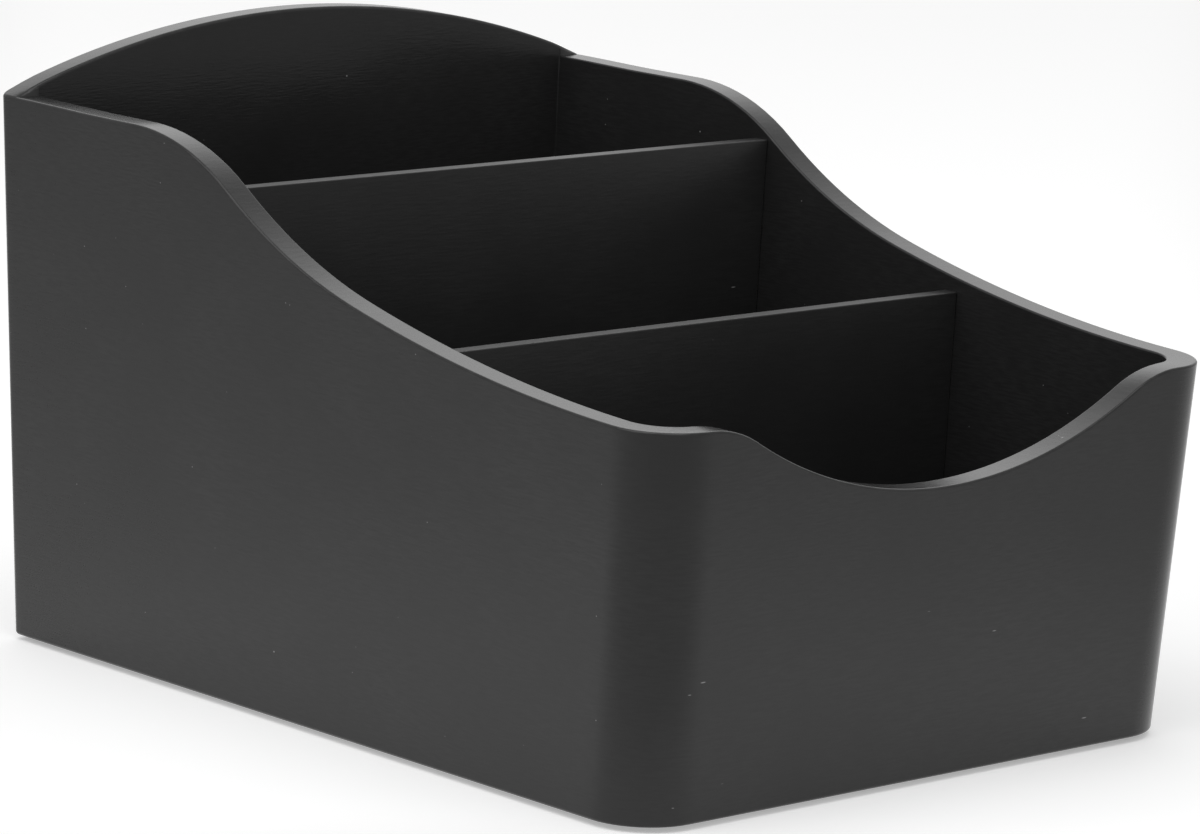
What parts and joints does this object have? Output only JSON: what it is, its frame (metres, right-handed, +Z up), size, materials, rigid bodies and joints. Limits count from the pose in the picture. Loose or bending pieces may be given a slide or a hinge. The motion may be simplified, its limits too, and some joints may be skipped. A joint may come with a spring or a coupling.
{
  "type": "sugar packet holder",
  "caption": "Countertop sugar packet holder: a drafted open tub with swept stepped rims, an arched back, a front finger dip, lift-out dividers and soft foot pads.",
  "frame": {"origin": "on the standing surface, under the middle of the base", "axes": "+X to the right seen from the front, +Y from the front wall to the back wall, +Z up"},
  "size_m": [0.0884, 0.1166, 0.0741],
  "materials": {
    "shell_plastic": "fine satin mould grain",
    "divider_plastic": "fine satin mould grain",
    "foot_rubber": "matt"
  },
  "bodies": {
    "tub": {"shell": "shell_plastic", "foot_front_left": "foot_rubber", "foot_front_right": "foot_rubber", "foot_rear_left": "foot_rubber", "foot_rear_right": "foot_rubber"},
    "front_panel": {"front_divider": "divider_plastic"},
    "rear_panel": {"rear_divider": "divider_plastic"}
  },
  "joints": [
    {"name": "front_divider_lift", "type": "slide", "parent": "tub", "child": "front_panel", "axis": [0, 0, 1], "range_m": [0, 0.075]},
    {"name": "rear_divider_lift", "type": "slide", "parent": "tub", "child": "rear_panel", "axis": [0, 0, 1], "range_m": [0, 0.075]}
  ]
}
